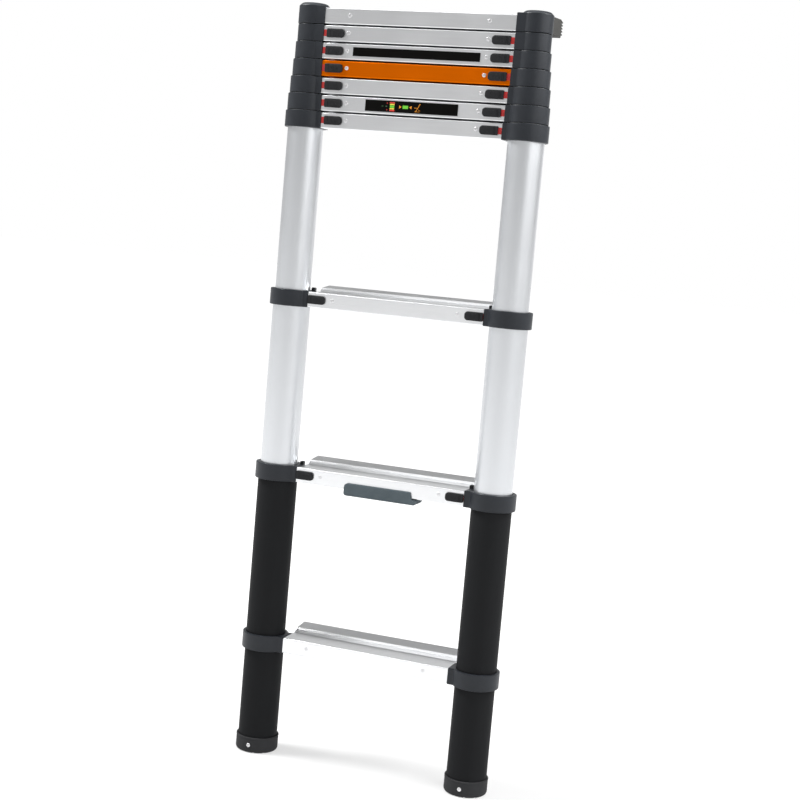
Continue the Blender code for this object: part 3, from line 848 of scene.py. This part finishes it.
button = button_mesh()
for rung in LATCH_RUNGS:
    shape = latch_mesh(rung, button)
    drawn_back = 0.0 if rung in OPEN_RUNGS else LATCH_TRAVEL
    for side, way in SIDES.items():
        name = "latch_%d_%s" % (rung, side)
        face = AXIS_X - block_reach(rung) - drawn_back
        piece("thumb_" + name, sided(shape, way), button_plastic, name,
              (-way * face, AXIS_Y, rung_z[rung]), [name])
print("latches:", 2 * len(LATCH_RUNGS))

# %% The red marks that a drawn-back button uncovers
mark = rounded_plate("mark", 0.35 * MM, 6.5 * MM, 5.4 * MM, RUNG_FRONT, RUNG_FRONT - 0.2 * MM,
                     0.5 * MM, 0.5 * MM, 0.05 * MM)
for rung in LATCH_RUNGS:
    for side, way in SIDES.items():
        face = AXIS_X - block_reach(rung)
        piece("red_mark_%d_%s" % (rung, side), sided(mark, way), red_mark, "section_%d" % carrier(rung),
              (-way * face, AXIS_Y, rung_z[rung]))

# %% [markdown]
# ## Screws, rivets and pegs
#
# One screw at each end of a rung holds the collar's tongue. Its head is a low dome with a cross cut into it.
# A rivet holds each foot. Each opened collar has a small peg, which is pushed down when the ladder closes.

# %% Screw heads
SCREW_FROM_END = 44 * MM
ABOVE_CENTRE = MM


def small_lathe(name, profile, steps):
    """A lathe whose profile is given in millimetres."""
    return lathe(name, [(radius * MM, height * MM) for radius, height in profile], steps, closed=False)


def screw_mesh():
    """A screw head that faces the climber, with its shank behind it."""
    dome = [(0, 0.7), (2.4, 0.66), (3.0, 0.5), (3.25, 0.25), (3.3, 0.02)]
    head = small_lathe("screw", dome + [(1.6, 0.02), (1.6, -4.0), (0, -4.0)], 40)
    head.materials.append(plated_steel)
    slots = []
    for turn in (45, 135):
        slot = block("slot", (-1.6 * MM, -0.65 * MM, 0.25 * MM), (1.6 * MM, 0.65 * MM, 3 * MM))
        slot.transform(Matrix.Rotation(math.radians(turn), 4, "Z"))
        slot.materials.append(recess_shadow)
        slots.append(slot)
    cut = combined(head, "DIFFERENCE", *slots)
    cut.transform(Matrix.Rotation(math.radians(90), 4, "X"))
    return cut


screw = screw_mesh()
for rung in RUNGS:
    for side, way in SIDES.items():
        place = (-way * (rung_half[rung] - SCREW_FROM_END), AXIS_Y + RUNG_FRONT, rung_z[rung] + ABOVE_CENTRE)
        piece("screw_%d_%s" % (rung, side), sided(screw, way), None, "section_%d" % carrier(rung),
              place)
print("screw materials:", [material.name for material in screw.materials])

# %% [markdown]
# ## The feet
#
# A foot is a rubber cup round the lowest tube, with a thick rounded sole. Grooves across the sole let water
# out from under it.

# %% The rubber cups
FOOT_RADIUS, FOOT_HEIGHT, SOLE = 37 * MM, 27.5 * MM, 5 * MM
RIVET_HEIGHT = 14 * MM


def foot_mesh():
    """A cup with a lip at its top, a rounded sole and grooves across the sole."""
    outer, inner, top = FOOT_RADIUS, BASE_RADIUS + FIT_GAP, FOOT_HEIGHT
    profile = [(0, SOLE), (inner, SOLE), (inner, top - 0.3 * MM), (inner + 0.3 * MM, top), (outer - 0.6 * MM, top),
               (outer, top - 0.6 * MM), (outer, top - 2.2 * MM), (outer - 0.35 * MM, top - 2.8 * MM)]
    profile += arc((outer - 5.3 * MM, SOLE), SOLE, 0, -78, 7)
    profile += [(outer - 6.5 * MM, 0), (0, 0)]
    cup = lathe("foot", profile, closed=False)
    grooves = []
    for turn in range(15, 180, 30):
        cutter = block("groove", (-45 * MM, -1.5 * MM, -MM), (45 * MM, 1.5 * MM, 1.6 * MM))
        cutter.transform(Matrix.Rotation(math.radians(turn), 4, "Z"))
        grooves.append(cutter)
    return combined(cup, "DIFFERENCE", *grooves)


def rivet_mesh():
    """A domed rivet head with a dimple, facing the climber."""
    dome = [(0, 1.3), (1.2, 1.25), (2.4, 0.95), (3.2, 0.45), (3.5, 0.0), (3.5, -0.4)]
    rivet = small_lathe("rivet", dome + [(1.5, -0.4), (1.5, -2.0), (0, -2.0)], 40)
    dimple = small_lathe("dimple", [(0, 3), (1.1, 3), (0.8, 0.7), (0, 0.6)], 24)
    rivet = combined(rivet, "DIFFERENCE", dimple)
    rivet.transform(Matrix.Rotation(math.radians(90), 4, "X"))
    return rivet


foot, rivet = foot_mesh(), rivet_mesh()
for side, way in SIDES.items():
    piece("rubber_foot_" + side, foot.copy(), foot_rubber, "section_1", stile(side, 0), ["foot_" + side])
    place = Vector(stile(side, RIVET_HEIGHT)) + Vector((0, 0.2 * MM - FOOT_RADIUS, 0))
    piece("foot_rivet_" + side, rivet.copy(), plated_steel, "section_1", place)
print("foot vertices:", len(foot.vertices))

# %% Pegs on the opened collars
PEG = 5.4 * MM
PEG_FOOT = Vector((0, 0, -2 * MM))
PEG_INSET, PEG_BACK = 3 * MM, 10 * MM
for rung in OPEN_RUNGS:
    for side, way in SIDES.items():
        peg = block("peg", (-PEG * 0.6, -PEG * 0.8, PEG_FOOT.z), (PEG * 0.6, PEG * 0.8, PEG))
        place = Vector(stile(side, rung_z[rung] + COLLAR_HALF))
        place += Vector((way * (block_reach(rung) - PEG_INSET), PEG_BACK, 0))
        made = piece("release_peg_%d_%s" % (rung, side), softened(peg, 1.2 * MM, 3), button_plastic,
                     "section_%d" % carrier(rung), place)
        tuple(place + PEG_FOOT)
        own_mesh(made)

# %% [markdown]
# ## The carry handle
#
# The handle hugs the front and the underside of rung 2. Its J-shaped section is stretched along X, and then
# an outline with rounded corners, stretched from front to back, trims its ends. At the right a low toe sticks
# out beyond the tall part.

# %% The handle
HANDLE_TOP, HANDLE_BOTTOM, HANDLE_BACK = -2 * MM, -24 * MM, 14 * MM
HANDLE_THICKNESS = 3.2 * MM
HANDLE_LEFT, HANDLE_RIGHT = -60.6 * MM, 68 * MM
FRONT_BEND, BACK_BEND = 4.5 * MM, 9 * MM
TOE_TOP = -15 * MM


def handle_mesh():
    """The stretched J-shaped section, cut to its outline from the front."""
    skin, half_wall = BUTTON_BACK, HANDLE_THICKNESS / 2
    front, under = skin - HANDLE_THICKNESS, RUNG_TOP - RUNG_HEIGHT - FIT_GAP
    bottom, back = HANDLE_BOTTOM, HANDLE_BACK
    section = [(skin, HANDLE_TOP)] + arc((front + half_wall, HANDLE_TOP - half_wall), half_wall, 90, 180, 4)
    section += arc((front + FRONT_BEND, bottom + FRONT_BEND), FRONT_BEND, 180, 270, 8)
    section += arc((back - BACK_BEND, bottom + BACK_BEND), BACK_BEND, 270, 360, 10) + [(back, under), (skin, under)]
    bar = prism("handle", [section], -70 * MM, 70 * MM, "YZ")
    corners = [(HANDLE_LEFT, bottom), (HANDLE_RIGHT, bottom), (HANDLE_RIGHT, TOE_TOP), (60.5 * MM, TOE_TOP),
               (57.5 * MM, HANDLE_TOP), (HANDLE_LEFT, HANDLE_TOP)]
    trim = rounded(corners, [5 * MM, 5 * MM, 1.5 * MM, 3 * MM, 3 * MM, 7 * MM], 6)
    return softened(combined(bar, "INTERSECT", prism("trim", [trim], -40 * MM, 30 * MM, "XZ")), 0.7 * MM, 2, 50)


piece("moulded_handle", handle_mesh(), handle_plastic, "section_1", (0, AXIS_Y, rung_z[2]),
      ["carry_handle"])

# %% [markdown]
# ## The plates
#
# Two black plates are stuck to the rungs' faces. The upper one stays plain. The lower one carries a gauge
# for setting the ladder's angle: a stack of coloured steps, a bubble bar between two arrowheads, and the
# outline of a leaning ladder. Each mark is a thin slip of ink, raised by a twentieth of a millimetre.

# %% The plate bodies
PLAIN_RUNG, GAUGE_RUNG = 8, 5


def plate_at(name, rung, node):
    """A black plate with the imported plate's own size and place."""
    corner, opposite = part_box(node)
    half = (opposite - corner) / 2
    body = softened(block(name, tuple(-half), tuple(half)), 0.12 * MM, 1)
    piece(name, body, plate_black, "section_%d" % carrier(rung), (corner + opposite) / 2, [node])


plate_at("plain_plate", PLAIN_RUNG, "maker_plate")
plate_at("gauge_plate", GAUGE_RUNG, "angle_gauge_plate")

# %% The printed gauge
INK_DEPTH, INK_OVERLAP = 0.05 * MM, 0.01 * MM
gauge_low, gauge_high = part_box("angle_gauge_plate")
gauge_middle = (0, gauge_low.y, (gauge_low.z + gauge_high.z) / 2)


def bar(x0, x1, z0, z1):
    return [(x0, z0), (x1, z0), (x1, z1), (x0, z1)]


def line(x0, z0, x1, z1, width):
    """A thin straight stroke."""
    along = Vector((x1 - x0, z1 - z0)).normalized() * width / 2
    return [(x0 + along.y, z0 - along.x), (x1 + along.y, z1 - along.x), (x1 - along.y, z1 + along.x),
            (x0 - along.y, z0 + along.x)]


# The marks' outlines, in millimetres from the middle of the plate.
marks = {
    "red": [bar(-37.5, -28.5, 5.0, 7.2), bar(-37.5, -28.5, -7.6, -5.2), bar(-42.5, -41.0, 4.4, 6.0),
            bar(-42.5, -41.0, -6.4, -4.8)],
    "yellow": [bar(-37.0, -29.0, 2.4, 4.4), bar(-37.0, -29.0, -4.6, -2.6)],
    "green": [bar(-36.8, -29.2, -2.0, 1.8), bar(-14.5, -5.0, -2.6, 2.6)],
    "dim_green": [bar(-51.5, -48.5, -0.6, 0.6), bar(-44.5, -41.5, -0.9, 0.9)],
    "orange": [[(-20.5, 2.6), (-20.5, -2.6), (-16.5, 0.0)], [(1.0, 2.6), (-3.0, 0.0), (1.0, -2.6)],
               line(8.5, -6.4, 15.5, 6.6, 0.8), line(5.5, -0.4, 11.0, -0.4, 0.7), line(6.0, -6.4, 15.0, -6.4, 0.5),
               line(13.0, -3.0, 15.5, -4.8, 0.5)],
}
for color, outlines in marks.items():
    shape = bmesh.new()
    for outline in outlines:
        shape.from_mesh(prism("ink", [[(x * MM, z * MM) for x, z in outline]], -INK_DEPTH, INK_OVERLAP, "XZ"))
    piece("gauge_ink_" + color, mesh_from("ink_" + color, shape), inks[color], "section_%d" % carrier(GAUGE_RUNG),
          gauge_middle)
print("gauge marks:", sum(len(outlines) for outlines in marks.values()))

# %% [markdown]
# ## The studio
#
# The ladder stands on a plain pale floor under a white sky. The floor glows, and more so away from the ladder,
# so it meets the sky without an edge. The camera stands to the right of the ladder, above half its height,
# and is rolled by five degrees. Its place comes from an azimuth, an elevation and a distance, and its axes
# from cross products.

# %% The floor
FLOOR_HALF = 30.0
floor_shape = bmesh.new()
bmesh.ops.create_grid(floor_shape, x_segments=1, y_segments=1, size=FLOOR_HALF)
floor = bpy.data.objects.new("studio_floor", mesh_from("studio_floor", floor_shape))
floor_finish, floor_sockets, floor_place = new_finish("studio_floor", Roughness=0.9, Specular_IOR_Level=0.0)
floor_place.noise(3.0).blend(gray(0.34), gray(0.36)).feed(floor_sockets["Base Color"])
from_ladder = floor_place.node("ShaderNodeVectorMath", {"operation": "LENGTH"}, {0: floor_place}, output=1)
(from_ladder * 0.4).ramp((0.15, gray(0.57)), (0.8, gray(1.0))).feed(floor_sockets["Emission Color"])
floor_sockets["Emission Strength"].default_value = 1.0
floor.data.materials.append(floor_finish)
bpy.context.scene.collection.objects.link(floor)

# %% The camera
AZIMUTH, ELEVATION, ROLL = math.radians(19.28), math.radians(6.10), math.radians(5.0)
DISTANCE, LENS = 2.5874, 69.42
TARGET = Vector((0.01747, AXIS_Y, 0.64375))


def outward(azimuth, elevation):
    """The direction from the ladder to a place round it. Azimuth 0 is in front of the climber's side."""
    level = math.cos(elevation)
    return Vector((math.sin(azimuth) * level, -math.cos(azimuth) * level, math.sin(elevation)))


away = outward(AZIMUTH, ELEVATION)
level_right = (-away).cross(Vector((0, 0, 1))).normalized()
level_up = level_right.cross(-away)
right = level_right * math.cos(ROLL) + level_up * math.sin(ROLL)
up = level_up * math.cos(ROLL) - level_right * math.sin(ROLL)

camera = bpy.data.objects.new("camera", bpy.data.cameras.new("camera"))
camera.data.lens = LENS
camera.data.sensor_width = 36.0
axes = Matrix((right, up, away)).transposed().to_4x4()
camera.matrix_world = Matrix.Translation(TARGET + away * DISTANCE) @ axes
bpy.context.scene.collection.objects.link(camera)
bpy.context.scene.camera = camera
print("camera at", [round(part, 3) for part in camera.matrix_world.translation])


# %% [markdown]
# ### Light
#
# Satin metal shows what surrounds it, so the lights are soft boxes. The key box hangs high on the left. A wide
# one fills from the right, and a smaller one above it picks out the right-hand sides of the caps and collars.
# A weak one behind and one overhead brighten the treads and risers. The sky is white only where the camera
# looks straight at it. What the metal reflects is a darker sky, lightest near the ground.

# %% Soft boxes
def soft_box(name, azimuth, elevation, distance, width, height, power, aim=0.7):
    """A rectangular light that faces the ladder, at the height aim, from a direction given in degrees."""
    direction = outward(math.radians(azimuth), math.radians(elevation))
    light = bpy.data.lights.new(name, "AREA")
    light.shape = "RECTANGLE"
    light.size, light.size_y = width, height
    light.energy = power
    made = bpy.data.objects.new(name, light)
    made.location = Vector((0, 0, aim)) + direction * distance
    made.rotation_mode = "QUATERNION"
    made.rotation_quaternion = direction.to_track_quat("Z", "Y")
    bpy.context.scene.collection.objects.link(made)


soft_box("key_box", -75, 50, 3.5, 1.2, 1.2, 190)
soft_box("right_fill_box", 80, 30, 3.2, 4.2, 1.6, 60)
soft_box("upper_right_box", 98, 45, 2.2, 1.0, 1.0, 60, aim=1.2)
soft_box("rear_box", 180, 12, 3.5, 4.0, 1.2, 9)
soft_box("overhead_box", 0, 86, 3.0, 2.4, 2.4, 30)

# %% The sky
world = bpy.data.worlds.new("studio")
world.use_nodes = True
bpy.context.scene.world = world
tree = world.node_tree
seen, reflected = tree.nodes.new("ShaderNodeBackground"), tree.nodes["Background"]
seen.inputs["Color"].default_value = gray(1.0)
direction = Value(tree.nodes.new("ShaderNodeTexCoord").outputs["Generated"])
height = direction.node("ShaderNodeSeparateXYZ", {}, {0: direction}, output=2)
height.ramp((0.0, gray(0.5)), (0.25, gray(0.3)), (0.6, gray(0.2))).feed(reflected.inputs["Color"])
ray = Value(tree.nodes.new("ShaderNodeLightPath").outputs["Is Camera Ray"])
pick = ray.node("ShaderNodeMixShader", {}, {0: ray, 1: Value(reflected.outputs[0]), 2: Value(seen.outputs[0])})
pick.feed(tree.nodes["World Output"].inputs["Surface"])
bpy.context.scene.view_settings.view_transform = "Standard"

# %% Update the view layer
bpy.context.view_layer.update()
